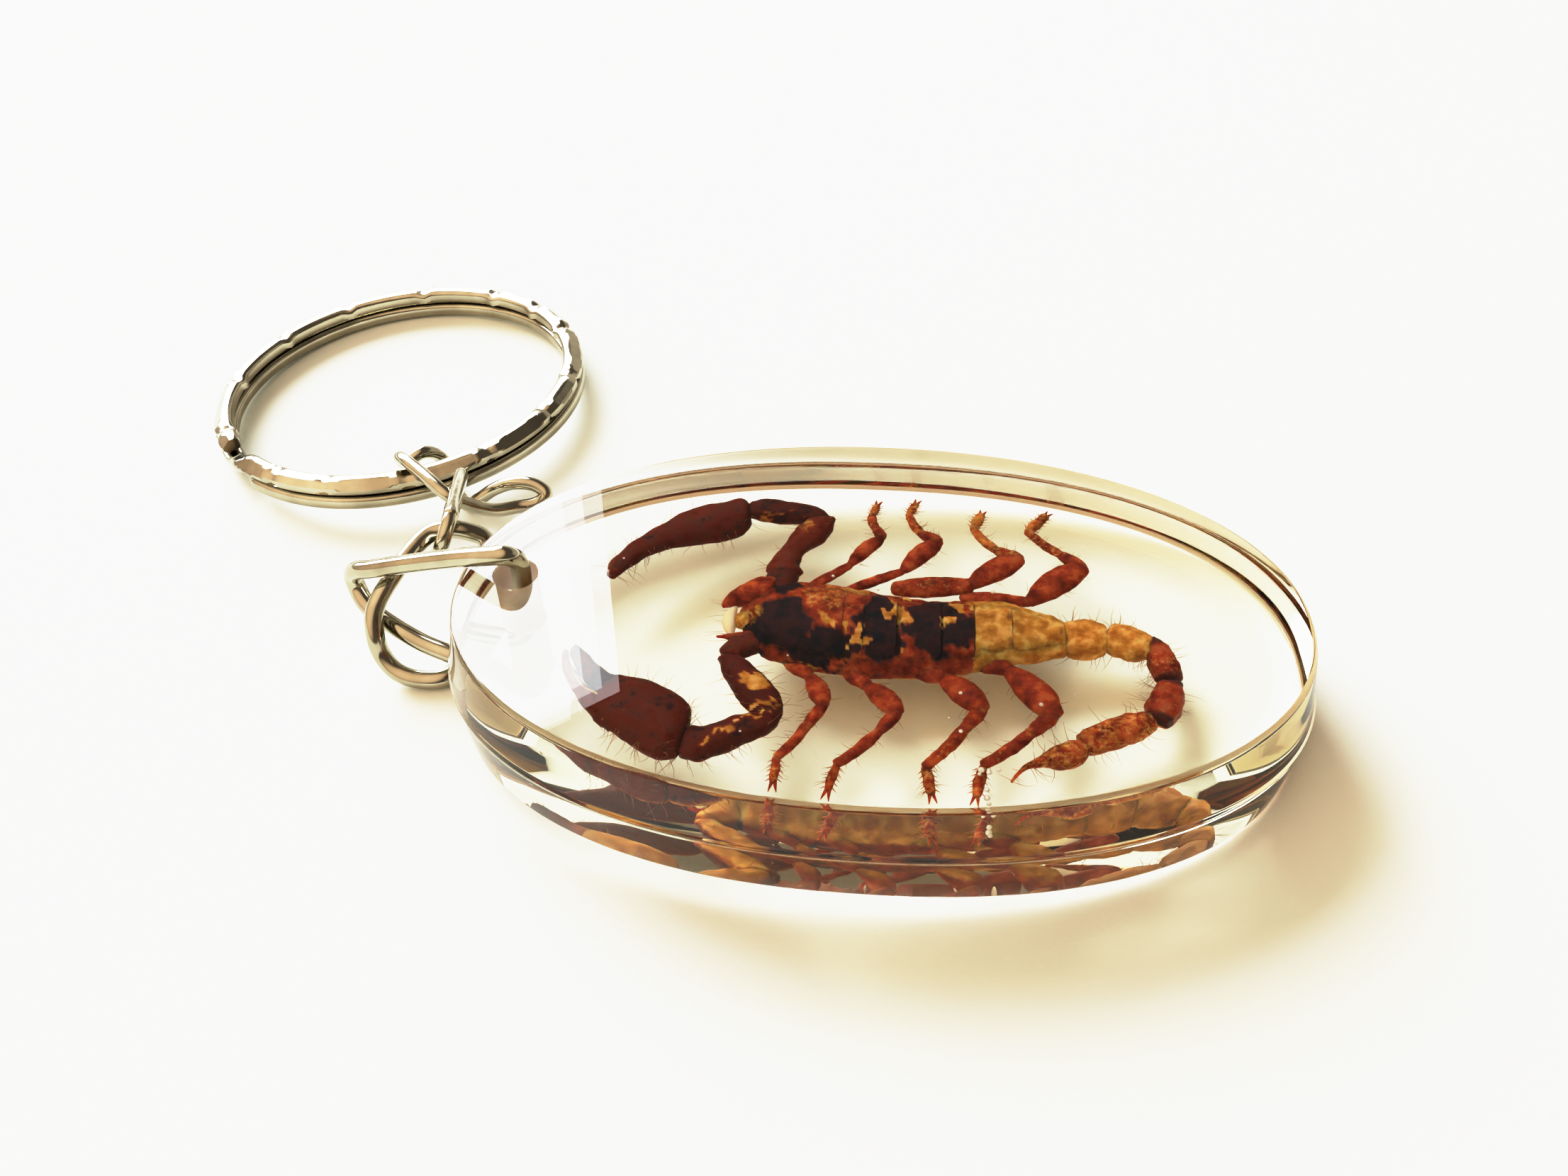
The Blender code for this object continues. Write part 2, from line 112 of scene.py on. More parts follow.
def domed(sections, depth_a, depth_b, rounds=3):
    """The same sections with a rounded end on each side, so deep as a share of its half-width"""
    out = list(sections)
    for end, depth in ((0, depth_a), (-1, depth_b)):
        inner = 1 if end == 0 else -2
        centre, side, top = out[end]
        way = (sections[end][0] - sections[inner][0]).normalized()
        reach = depth * side.length
        for k in range(1, rounds + 1):
            turn = math.radians(86.0 * k / rounds)
            ring = (centre + way * reach * math.sin(turn), side * math.cos(turn), top * math.cos(turn))
            if end == 0:
                out.insert(0, ring)
            else:
                out.append(ring)
    return out


def between_edges(rows, steps):
    """Sections from rows of left edge x and y, right edge x and y, middle height and half thickness"""
    out = []
    for ax, ay, bx, by, z, h in glide(rows, steps):
        centre = Vector(((ax + bx) / 2, (ay + by) / 2, z))
        out.append((centre, Vector(((bx - ax) / 2, (by - ay) / 2, 0.0)), UP * h))
    return out


def along_line(rows, steps, flat=1.0):
    """Sections from rows of x, y, height and radius, lying across the line"""
    run = [(Vector(r[:3]), r[3]) for r in glide(rows, steps)]
    out = []
    for i, (centre, radius) in enumerate(run):
        way = (run[min(i + 1, len(run) - 1)][0] - run[max(i - 1, 0)][0]).normalized()
        side = UP.cross(way).normalized()
        out.append((centre, side * radius, way.cross(side) * radius * flat))
    return out


def along_wire(rows, steps, radius, closed=False):
    """Round wire sections that don't twist, with any leftover turn of a closed loop shared out"""
    run = [Vector(r) for r in glide(rows, steps, closed)]
    count = len(run)
    ways = []
    for i in range(count):
        if closed:
            ways.append((run[(i + 1) % count] - run[i - 1]).normalized())
        else:
            ways.append((run[min(i + 1, count - 1)] - run[max(i - 1, 0)]).normalized())
    side = ways[0].orthogonal().normalized()
    sides = [side]
    for a, b in zip(ways, ways[1:]):
        side = a.rotation_difference(b) @ side
        side = (side - b * side.dot(b)).normalized()
        sides.append(side)
    spare = 0.0
    if closed:
        last = ways[-1].rotation_difference(ways[0]) @ sides[-1]
        spare = math.atan2(last.cross(sides[0]).dot(ways[0]), last.dot(sides[0]))
    out = []
    for i, (centre, way, side) in enumerate(zip(run, ways, sides)):
        side = Matrix.Rotation(spare * i / count, 3, way) @ side
        out.append((centre, side * radius, way.cross(side) * radius))
    return out


def roughen(bm, size, depth, shift=0.0):
    """Small lumps and dents of that size, pushed along the surface"""
    bm.normal_update()
    for v in bm.verts:
        v.co += v.normal * depth * noise.noise(v.co / size + Vector((shift, 7.3, 2.1)))


def gold_dark_and_painted_underside_light(gold, dark, low=3.9):
    """Gold that breaks through the dark, and a paler underside: painted light lifting the shade under the
    specimen
    """
    def read(shade, p):
        return shade(p) if callable(shade) else shade

    # Painted light: below the given height the shell turns paler and less dark, standing in for light its
    # shaded underside lacks
    def painted_underside_light(p):
        return held((low - p.z) / 0.5)

    def gold_and_painted_light_at(p):
        return max(read(gold, p), 0.7 * painted_underside_light(p))

    def dark_lifted_by_painted_light_at(p):
        bare = held(read(gold, p) * 1.6 - 0.5)
        return read(dark, p) * (1.0 - 0.9 * bare) * (1.0 - 0.85 * painted_underside_light(p))
    return gold_and_painted_light_at, dark_lifted_by_painted_light_at


class Piece:
    """Gathers finished shapes with their shades, and becomes one named object"""

    def __init__(self, name, place):
        self.name, self.place, self.mesh = name, place, bmesh.new()
        self.gold = self.mesh.verts.layers.float.new("gold")
        self.dark = self.mesh.verts.layers.float.new("dark")

    def add(self, bm, gold=0.0, dark=0.0):
        for key, value in (("gold", gold), ("dark", dark)):
            layer = bm.verts.layers.float.new(key)
            for v in bm.verts:
                v[layer] = value(v.co) if callable(value) else value
        holder = bpy.data.meshes.new("holder")
        bm.to_mesh(holder)
        bm.free()
        self.mesh.from_mesh(holder)
        bpy.data.meshes.remove(holder)

    def finish(self, body, mat, replaced=(), sharp=40.0):
        mesh = bpy.data.meshes.new(self.name)
        self.mesh.transform(self.place)
        self.mesh.to_mesh(mesh)
        self.mesh.free()
        mesh.materials.append(mat)
        mesh.shade_smooth()
        mesh.set_sharp_from_angle(angle=math.radians(sharp))
        ob = bpy.data.objects.new(self.name, mesh)
        bpy.context.scene.collection.objects.link(ob)
        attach(ob, body)
        if replaced:
            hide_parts(*replaced)
        return ob


# ------------------------------------------------------------------ finishes

class Nodes:
    """A few short ways to add nodes to a material or to the world"""

    def __init__(self, tree):
        self.nodes, self.links = tree.nodes, tree.links

    def node(self, kind, inputs=None, **settings):
        made = self.nodes.new("ShaderNode" + kind)
        for key, value in settings.items():
            setattr(made, key, value)
        for key, value in (inputs or {}).items():
            if isinstance(value, bpy.types.NodeSocket):
                self.links.new(value, made.inputs[key])
            else:
                made.inputs[key].default_value = value
        return made

    def ramp(self, fac, stops):
        made = self.node("ValToRGB", {"Fac": fac})
        ends = made.color_ramp.elements
        while len(ends) < len(stops):
            ends.new(0.5)
        for stop, (at, colour) in zip(ends, stops):
            stop.position = at
            stop.color = (*colour, 1.0)
        return made.outputs["Color"]

    def span(self, fac, low, high, to_low=0.0, to_high=1.0):
        return self.node("MapRange", {"Value": fac, "From Min": low, "From Max": high,
                                      "To Min": to_low, "To Max": to_high}).outputs["Result"]

    def mix(self, fac, a, b):
        made = self.node("Mix", data_type="RGBA")
        for socket, value in ((made.inputs[0], fac), (made.inputs[6], a), (made.inputs[7], b)):
            if isinstance(value, bpy.types.NodeSocket):
                self.links.new(value, socket)
            else:
                socket.default_value = value if isinstance(value, float) else (*value, 1.0)
        return made.outputs[2]


class Finish(Nodes):
    """A Principled material, with its sockets set by name"""

    def __init__(self, name, **sockets):
        self.mat = bpy.data.materials.new(name)
        self.mat.use_nodes = True
        super().__init__(self.mat.node_tree)
        self.shader = self.nodes["Principled BSDF"]
        for key, value in sockets.items():
            self.shader.inputs[key.replace("_", " ")].default_value = value

    def to_shader(self, socket, key):
        self.links.new(socket, self.shader.inputs[key])

    def cloud(self, scale, detail=3.0, rough=0.55):
        place = self.node("TexCoord").outputs["Object"]
        return self.node("TexNoise", {"Vector": place, "Scale": scale, "Detail": detail,
                                      "Roughness": rough}).outputs["Fac"]

    def bump(self, height, strength, distance):
        made = self.node("Bump", {"Height": height, "Strength": strength, "Distance": distance})
        self.to_shader(made.outputs["Normal"], "Normal")


def nickel_finish(name):
    """Bright plate, a little uneven in tone and polish"""
    made = Finish(name, Metallic=1.0, IOR=1.5)
    tone = made.ramp(made.cloud(260.0), [(0.3, (0.33, 0.30, 0.225)), (0.7, (0.50, 0.465, 0.37))])
    made.to_shader(tone, "Base Color")
    made.to_shader(made.span(made.cloud(1400.0, 5.0), 0.3, 0.7, 0.05, 0.16), "Roughness")
    made.bump(made.cloud(500.0, 2.0), 0.25, 0.00008)
    return made.mat


def resin_finish():
    """Clear through and through, and frosted where the block's dark shade marks the drilled wall"""
    made = Finish("clear_cast_resin", IOR=1.5, Base_Color=(1.0, 1.0, 1.0, 1.0), Transmission_Weight=1.0)
    frosted = made.node("Attribute", attribute_name="dark").outputs["Fac"]
    made.to_shader(made.span(frosted, 0.0, 1.0, 0.0, 0.8), "Roughness")
    inside = made.node("VolumeAbsorption", {"Color": (0.97, 0.945, 0.74, 1.0), "Density": 40.0})
    made.links.new(inside.outputs["Volume"], made.nodes["Material Output"].inputs["Volume"])
    return made.mat


def shell_finish():
    """Red brown, amber where the gold shade is strong, and near black where the dark shade is. Painted light on
    the underside rides in both shades
    """
    made = Finish("dried_shell", IOR=1.5, Specular_IOR_Level=0.03, Subsurface_Weight=0.5,
                  Subsurface_Radius=(1.0, 0.32, 0.1), Subsurface_Scale=0.0014)
    gold = made.node("Attribute", attribute_name="gold").outputs["Fac"]
    dark = made.node("Attribute", attribute_name="dark").outputs["Fac"]
    blotch = made.cloud(900.0, 5.0, 0.6)
    fine = made.cloud(3200.0, 4.0, 0.65)
    red = made.ramp(blotch, [
        (0.34, (0.13, 0.016, 0.009)), (0.52, (0.32, 0.05, 0.02)), (0.7, (0.58, 0.16, 0.05))])
    amber = made.ramp(made.cloud(1300.0, 4.0, 0.5), [
        (0.34, (0.36, 0.15, 0.025)), (0.5, (0.54, 0.27, 0.055)), (0.66, (0.74, 0.47, 0.15))])
    black = made.ramp(blotch, [(0.35, (0.008, 0.012, 0.020)), (0.7, (0.055, 0.018, 0.022))])
    ragged = made.node("Math", {0: made.span(fine, 0.3, 0.7, -0.22, 0.22), 1: gold},
                       operation="ADD").outputs[0]
    colour = made.mix(made.span(ragged, 0.34, 0.66), red, amber)
    colour = made.mix(made.span(gold, 1.2, 1.7), colour, (0.9, 0.78, 0.6))
    sooty = made.node("Math", {0: made.span(blotch, 0.3, 0.7, -0.22, 0.22), 1: dark},
                      operation="ADD").outputs[0]
    colour = made.mix(made.span(sooty, 0.3, 0.75), colour, black)
    made.to_shader(colour, "Base Color")
    made.to_shader(made.span(fine, 0.2, 0.8, 0.32, 0.6), "Roughness")
    made.bump(fine, 0.5, 0.00006)
    return made.mat


def plain_finish(name, colour, rough, **sockets):
    """One colour with a slightly deeper tone drifting through it"""
    made = Finish(name, Roughness=rough, **sockets)
    deeper = tuple(c * 0.8 for c in colour)
    made.to_shader(made.mix(made.span(made.cloud(700.0), 0.3, 0.7), deeper, colour), "Base Color")
    return made.mat


NICKEL = {name: nickel_finish(name) for name in
          ("bail_nickel", "bail_link_nickel", "middle_link_nickel", "jump_ring_nickel", "ring_nickel")}
RESIN = resin_finish()
SHELL = shell_finish()


# ------------------------------------------------------------------ clear block

THICK, RIDGE_AT = 7.9, 3.9
ROUND_OFF = 0.32
RIDGE_BEAD = 0.09
HOLE_AT, HOLE_RADIUS, HOLE_MOUTH = Vector((-23.4, 1.4, 0.0)), 1.4, 0.1
# Outline at three heights: height, half length, half width, middle across, and power of the oval
BASE = (0.0, 27.2, 16.33, 0.07, 2.25)
RIDGE = (RIDGE_AT, 27.7, 16.55, 0.1, 2.2)
FACE = (THICK, 27.05, 16.18, 0.14, 2.1)
BLOCK_SIDES, HOLE_SIDES = 224, 64


def outline_at(z):
    """The block's outline at a height: widest at the ridge and drawn in above and below"""
    low, high = (BASE, RIDGE) if z < RIDGE_AT else (RIDGE, FACE)
    t = (z - low[0]) / (high[0] - low[0])
    return [a + (b - a) * t for a, b in zip(low[1:], high[1:])]


def rim_levels():
    """Heights up the rim, each with how far it stands out from the outline: rounded edges and a beaded ridge"""
    turns = [math.radians(15.0 * k) for k in range(7)]
    levels = [(ROUND_OFF * (1 - math.sin(t)), -ROUND_OFF * (1 - math.cos(t))) for t in reversed(turns)]
    levels += [(z, 0.0) for z in (1.5, 2.7, 3.5)]
    levels += [(RIDGE_AT + z, RIDGE_BEAD * math.cos(z * 6.0))
               for z in (-0.24, -0.16, -0.08, 0.0, 0.08, 0.16, 0.24)]
    levels += [(z, 0.0) for z in (4.3, 5.4, 6.6)]
    levels += [(THICK - ROUND_OFF * (1 - math.sin(t)), -ROUND_OFF * (1 - math.cos(t))) for t in turns]
    flat = 0.12
    return [(0.0, levels[0][1] - flat)] + levels + [(THICK, levels[-1][1] - flat)]


def make_block():
    """One closed solid: the beaded rim, the drilled hole, and the two faces filled in between"""
    bm = bmesh.new()
    sections = []
    for z, out in rim_levels():
        long, wide, middle, power = outline_at(z)
        sections.append((Vector((0.0, middle, z)), Vector((long + out, 0.0, 0.0)),
                         Vector((0.0, wide + out, 0.0)), 2 / power))
    rim = loft(sections, BLOCK_SIDES, capped=False, into=bm)
    sections = []
    for z, more in ((0.0, HOLE_MOUTH), (HOLE_MOUTH, 0.0), (THICK - HOLE_MOUTH, 0.0), (THICK, HOLE_MOUTH)):
        radius = HOLE_RADIUS + more
        sections.append((HOLE_AT + UP * z, Vector((radius, 0.0, 0.0)), Vector((0.0, radius, 0.0))))
    drill = loft(sections, HOLE_SIDES, capped=False, into=bm)
    for outer, inner in zip(rim, drill):
        bmesh.ops.triangle_fill(bm, use_beauty=True, use_dissolve=False, edges=list(outer) + list(inner))
    bmesh.ops.recalc_face_normals(bm, faces=bm.faces[:])

    def drilled(p):
        return 1.0 if (p - HOLE_AT).xy.length < HOLE_RADIUS + HOLE_MOUTH / 2 else 0.0

    piece = Piece("resin_block", IN_BLOCK)
    piece.add(bm, dark=drilled)
    ob = piece.finish("block", RESIN, ("resin_top", "resin_bottom"), sharp=50.0)
    for poly in ob.data.polygons:
        if abs(poly.normal.z) > 0.999:
            poly.use_smooth = False


# ------------------------------------------------------------------ specimen, in the block's own millimetres

def wander(p, size):
    """Step aside that changes slowly from place to place, so that the edges of a patch come out ragged"""
    q = p / size
    return Vector((noise.noise(q + Vector((3.1, 1.4, 7.7))), noise.noise(q + Vector((9.2, 4.6, 1.8))), 0.0))


def spots(table, base=0.0):
    """Shade that is strong inside a few soft ovals: x, y, half length, half width, turn, strength"""
    def shade(p):
        best = base
        p = p + wander(p, 1.1) * 0.9 + wander(p, 0.38) * 0.45
        for x, y, along, across, turn, strength in table:
            c, s = math.cos(math.radians(turn)), math.sin(math.radians(turn))
            dx, dy = p.x - x, p.y - y
            far = math.hypot((dx * c + dy * s) / along, (dy * c - dx * s) / across)
            best = max(best, strength * held((1.3 - far) * 2.5))
        return best
    return shade


BACK_GOLD = spots([
    (-3.2, 1.8, 1.5, 1.3, -20, 0.42), (-2.4, -0.7, 1.1, 0.35, -5, 0.9), (-1.0, -1.8, 0.9, 0.35, 60, 0.9),
    (1.4, 0.5, 0.4, 1.5, 10, 0.95), (5.3, 1.6, 0.65, 0.6, 0, 0.9), (4.4, 0.0, 0.5, 0.35, 30, 0.9),
    (-1.4, 3.1, 1.4, 0.4, -8, 0.6), (1.6, 2.5, 0.6, 0.22, 0, 0.95), (4.4, 3.0, 1.7, 0.25, -2, 0.95),
    (-4.0, -3.8, 0.9, 0.3, -8, 0.5), (1.8, -2.6, 0.22, 0.35, 0, 0.9), (-7.7, 0.2, 0.5, 0.9, 0, 0.6)])
BACK_DARK = spots([
    (-6.0, 3.0, 1.1, 0.9, 0, 0.95), (-6.3, -0.6, 1.9, 2.0, 0, 1.0), (-3.3, -2.5, 2.3, 1.2, 0, 0.95),
    (0.4, -0.7, 1.35, 2.9, 0, 1.0), (4.0, -0.3, 2.0, 2.3, 0, 1.0)], 0.2)

# Each row of a body part: left edge x and y, right edge x and y, middle height and half thickness
TRUNK = [
    (-8.4, -0.5, -8.4, 1.7, 4.0, 0.6), (-7.8, -1.8, -7.9, 2.9, 4.0, 1.1),
    (-6.8, -2.9, -7.0, 3.6, 4.0, 1.45), (-5.2, -3.5, -5.4, 3.9, 4.0, 1.65),
    (-3.0, -3.9, -3.0, 3.7, 4.0, 1.8), (-0.5, -4.1, -0.5, 3.3, 4.0, 1.9), (2.0, -4.0, 2.0, 2.8, 4.0, 1.85),
    (4.2, -3.7, 4.2, 2.6, 4.0, 1.8), (6.2, -3.3, 6.2, 2.8, 4.0, 1.65), (8.3, -2.5, 8.3, 2.8, 4.0, 1.45),
    (10.2, -2.2, 10.2, 2.2, 4.0, 1.2), (11.9, -1.6, 11.9, 1.5, 4.0, 0.9)]
# Where each plate of the back starts and ends. The head shield is the first, and the plates that start
# past AMBER_FROM are amber
PLATES = [(-8.1, -2.05), (-2.2, -0.7), (-0.85, 1.35), (1.7, 4.15), (4.35, 6.25), (6.35, 8.65), (8.7, 11.95)]
AMBER_FROM = 5.5


def trunk_at(x):
    """Trunk edges and half thickness at a distance along it"""
    for a, b in zip(TRUNK, TRUNK[1:]):
        if a[0] <= x <= b[0]:
            t = (x - a[0]) / (b[0] - a[0])
            return [p + (q - p) * t for p, q in zip(a, b)]
    return list(TRUNK[0] if x < TRUNK[0][0] else TRUNK[-1])


def make_trunk(piece):
    """The whole trunk, then a plate over each part of its back"""
    bm = loft(domed(between_edges(TRUNK, 11), 0.4, 0.3), 60)
    roughen(bm, 0.9, 0.16)
    roughen(bm, 0.35, 0.07, 5.0)
    piece.add(bm, *gold_dark_and_painted_underside_light(lambda p: max(BACK_GOLD(p), held((p.x - 5.9) / 0.6)), BACK_DARK))
    for i, (start, end) in enumerate(PLATES):
        rows = []
        for k in range(6):
            x = start + (end - start) * k / 5
            edge = trunk_at(x)
            lift = 0.10 + 0.16 * k / 5
            pull = 0.55 + (0.5 if i == 0 and k == 0 else 0.0)
            rows.append((x, edge[1] + pull, x, edge[3] - pull, 4.25, edge[5] + lift - 0.1))
        bm = loft(domed(between_edges(rows, 6), 0.05, 0.04, 2), 56, square=0.85)
        roughen(bm, 0.6, 0.10, i * 3.7)
        roughen(bm, 0.22, 0.035, i * 1.9)
        if start > AMBER_FROM:
            piece.add(bm, 0.95, lambda p: 0.36 if p.x > end - 0.35 else 0.02)
        else:
            piece.add(bm, *gold_dark_and_painted_underside_light(BACK_GOLD, BACK_DARK))


JAW_FAR = [
    (-7.2, 1.5, -6.6, 4.2, 4.2, 1.2), (-8.0, 1.5, -7.9, 4.0, 4.2, 1.15), (-8.9, 1.5, -9.0, 3.2, 4.1, 0.95),
    (-9.5, 1.4, -9.8, 2.3, 4.0, 0.6), (-9.9, 1.3, -10.05, 1.6, 3.9, 0.2)]
JAW_MIDDLE = [
    (-7.4, -0.7, -7.3, 1.3, 4.1, 0.9), (-8.2, -0.7, -8.2, 1.2, 4.1, 0.75),
    (-8.9, -0.4, -8.9, 0.8, 4.0, 0.4)]
JAW_NEAR = [
    (-7.2, -2.0, -7.2, -0.7, 4.2, 0.8), (-8.4, -1.8, -8.5, -0.9, 4.1, 0.5),
    (-9.3, -1.55, -9.4, -1.15, 4.0, 0.25), (-10.0, -1.35, -10.0, -1.25, 3.95, 0.07)]

# Each part of an arm: its rows and how dark it is
FAR_ARM = [
    ([(-6.9, 2.6, -5.4, 2.9, 4.0, 1.0), (-7.4, 3.9, -5.2, 4.3, 4.0, 1.1),
      (-7.3, 4.7, -5.3, 4.9, 4.0, 0.95)], 0.6),
    ([(-7.45, 4.9, -5.0, 4.9, 4.0, 0.9), (-7.3, 5.6, -5.25, 5.8, 4.0, 0.95),
      (-6.6, 7.0, -4.9, 6.9, 4.05, 0.95), (-6.1, 8.3, -3.9, 7.9, 4.1, 1.05),
      (-5.6, 9.4, -3.3, 9.1, 4.1, 1.0), (-5.2, 9.9, -3.1, 10.2, 4.1, 0.8)], 0.5),
    ([(-5.0, 9.9, -3.2, 10.3, 4.1, 0.75), (-5.6, 9.85, -4.4, 11.35, 4.1, 0.95),
      (-6.9, 9.75, -6.3, 11.75, 4.1, 1.1), (-8.1, 9.9, -7.9, 12.0, 4.1, 1.1),
      (-9.1, 10.2, -9.0, 11.75, 4.1, 0.85)], 0.62)]
FAR_HAND = [
    (-9.0, 10.2, -9.25, 11.5, 4.1, 0.7), (-9.0, 9.3, -9.9, 11.9, 4.1, 1.2),
    (-9.6, 8.25, -11.0, 11.5, 4.1, 1.5), (-11.2, 7.6, -12.3, 10.95, 4.1, 1.55),
    (-12.9, 7.2, -13.6, 10.2, 4.05, 1.4), (-14.5, 6.65, -14.8, 9.2, 4.0, 1.15),
    (-15.6, 5.9, -16.1, 7.9, 4.0, 0.95), (-16.4, 4.9, -17.25, 6.4, 4.0, 0.78),
    (-16.95, 4.1, -18.05, 4.9, 4.0, 0.58), (-17.35, 3.6, -18.1, 3.9, 4.0, 0.35)]
NEAR_ARM = [
    ([(-7.0, -2.4, -7.0, -0.5, 4.0, 0.9), (-8.2, -3.0, -8.9, -1.4, 4.0, 0.95),
      (-8.2, -3.3, -9.7, -2.6, 4.0, 0.85)], 0.55),
    ([(-8.0, -3.3, -9.7, -3.2, 4.0, 0.8), (-7.3, -3.9, -9.3, -4.4, 4.1, 0.95),
      (-6.5, -4.8, -8.8, -5.4, 4.2, 1.05), (-5.8, -5.7, -8.25, -6.3, 4.25, 1.05),
      (-5.35, -6.7, -7.7, -7.1, 4.2, 0.9), (-5.3, -7.3, -7.2, -7.6, 4.1, 0.75)], 0.62),
    ([(-5.3, -7.3, -6.9, -7.6, 4.1, 0.8), (-5.55, -8.5, -7.5, -7.9, 4.1, 0.95),
      (-6.7, -9.5, -8.5, -8.15, 4.1, 1.1), (-8.2, -10.5, -9.6, -8.85, 4.1, 1.15),
      (-9.9, -11.4, -10.7, -9.0, 4.1, 1.05), (-10.9, -11.25, -11.0, -9.4, 4.1, 0.8)], 0.6)]
NEAR_HAND = [
    (-11.1, -11.1, -11.05, -9.2, 4.1, 0.75), (-11.5, -11.4, -10.75, -8.6, 4.15, 1.3),
    (-12.5, -11.4, -10.9, -7.5, 4.2, 1.65), (-13.8, -10.7, -12.2, -6.35, 4.2, 1.75),
    (-15.1, -9.85, -13.8, -5.6, 4.2, 1.6), (-16.2, -9.2, -15.6, -5.2, 4.15, 1.3)]
FIXED_FINGER = [
    (-16.0, -8.75, -15.5, -5.25, 4.15, 1.15), (-16.55, -6.95, -16.3, -5.0, 4.1, 0.95),
    (-17.4, -6.25, -17.0, -4.45, 4.1, 0.8), (-18.1, -5.25, -17.8, -3.6, 4.05, 0.65),
    (-18.8, -4.25, -18.45, -2.95, 4.0, 0.45), (-19.15, -3.5, -18.8, -2.65, 4.0, 0.25)]
MOVING_FINGER = [
    (-15.6, -9.5, -15.9, -8.3, 4.15, 0.9), (-16.6, -8.75, -16.25, -7.5, 4.1, 0.9),
    (-17.5, -7.7, -16.75, -6.7, 4.1, 0.82), (-18.5, -6.35, -17.65, -6.0, 4.05, 0.7),
    (-19.25, -5.0, -18.4, -5.0, 4.0, 0.55), (-19.55, -3.9, -18.95, -4.1, 4.0, 0.4),
    (-19.5, -3.2, -19.2, -3.4, 4.0, 0.22)]

# Rows of x, y, height and radius: the skin at the jaws, and the pale line between the near pincer's fingers
PALE_SKIN = [
    (-9.1, 1.5, 3.9, 0.15), (-9.35, 0.6, 4.0, 0.42), (-9.3, -0.4, 4.0, 0.42), (-9.1, -1.1, 3.9, 0.2)]
FINGER_SLIT = [
    (-18.8, -4.75, 4.5, 0.05), (-17.7, -6.45, 4.75, 0.07), (-16.5, -7.3, 4.95, 0.08),
    (-15.95, -9.1, 4.85, 0.05)]
ARM_GOLD = spots([
    (-7.15, -5.3, 1.1, 0.42, -55, 0.95), (-6.6, -7.2, 1.2, 0.3, -10, 0.8), (-7.0, -8.3, 1.1, 0.2, 25, 0.8),
    (-8.8, -9.9, 1.3, 0.2, 20, 0.8), (-5.0, 8.8, 0.5, 1.1, -25, 0.5), (-8.0, 10.1, 1.3, 0.2, 0, 0.6)])

# Each segment of the tail, the sting last: its rows, how gold it is and how dark
TAIL = [
    ([(12.0, -1.3, 12.0, 1.2, 4.0, 0.95), (12.6, -1.65, 12.6, 1.45, 4.0, 1.25),
      (13.6, -1.65, 13.6, 1.55, 4.0, 1.3), (14.4, -1.25, 14.5, 1.25, 4.0, 1.1)], 0.75, 0.0),
    ([(14.6, -1.0, 14.8, 0.9, 4.0, 0.9), (15.1, -1.3, 15.2, 1.3, 4.0, 1.15),
      (16.2, -1.6, 16.3, 1.1, 4.0, 1.2), (17.0, -1.4, 17.4, 0.5, 4.0, 1.0)], 0.7, 0.05),
    ([(17.0, -1.2, 17.6, 0.35, 4.0, 0.85), (17.0, -1.75, 18.4, -0.4, 4.0, 1.05),
      (17.2, -2.6, 18.95, -1.9, 4.0, 1.1), (17.35, -3.2, 19.05, -3.0, 4.0, 0.95)], 0.3, 0.25),
    ([(17.4, -3.5, 18.95, -3.55, 4.0, 0.85), (17.0, -4.3, 18.95, -4.6, 4.0, 1.05),
      (16.5, -5.3, 18.6, -5.9, 4.0, 1.1), (16.55, -6.0, 17.8, -6.95, 4.0, 0.9)], 0.25, 0.3),
    ([(16.4, -5.95, 17.1, -7.1, 4.0, 0.85), (15.4, -6.15, 16.4, -7.75, 4.0, 1.05),
      (14.0, -6.85, 14.9, -8.6, 4.0, 1.1), (12.7, -7.6, 13.6, -9.15, 4.0, 0.95),
      (12.3, -7.95, 13.1, -9.35, 4.0, 0.75)], 0.42, 0.0),
    ([(12.6, -8.4, 13.0, -9.2, 4.0, 0.55), (11.9, -8.45, 12.5, -10.05, 4.0, 0.9),
      (10.9, -8.95, 11.4, -10.55, 4.0, 0.9), (10.0, -9.7, 10.3, -10.45, 4.0, 0.5),
      (9.2, -10.3, 9.4, -10.65, 4.0, 0.26), (8.65, -10.95, 8.85, -11.15, 4.0, 0.15),
      (8.3, -11.65, 8.4, -11.75, 4.0, 0.05)], 0.42, -0.1)]

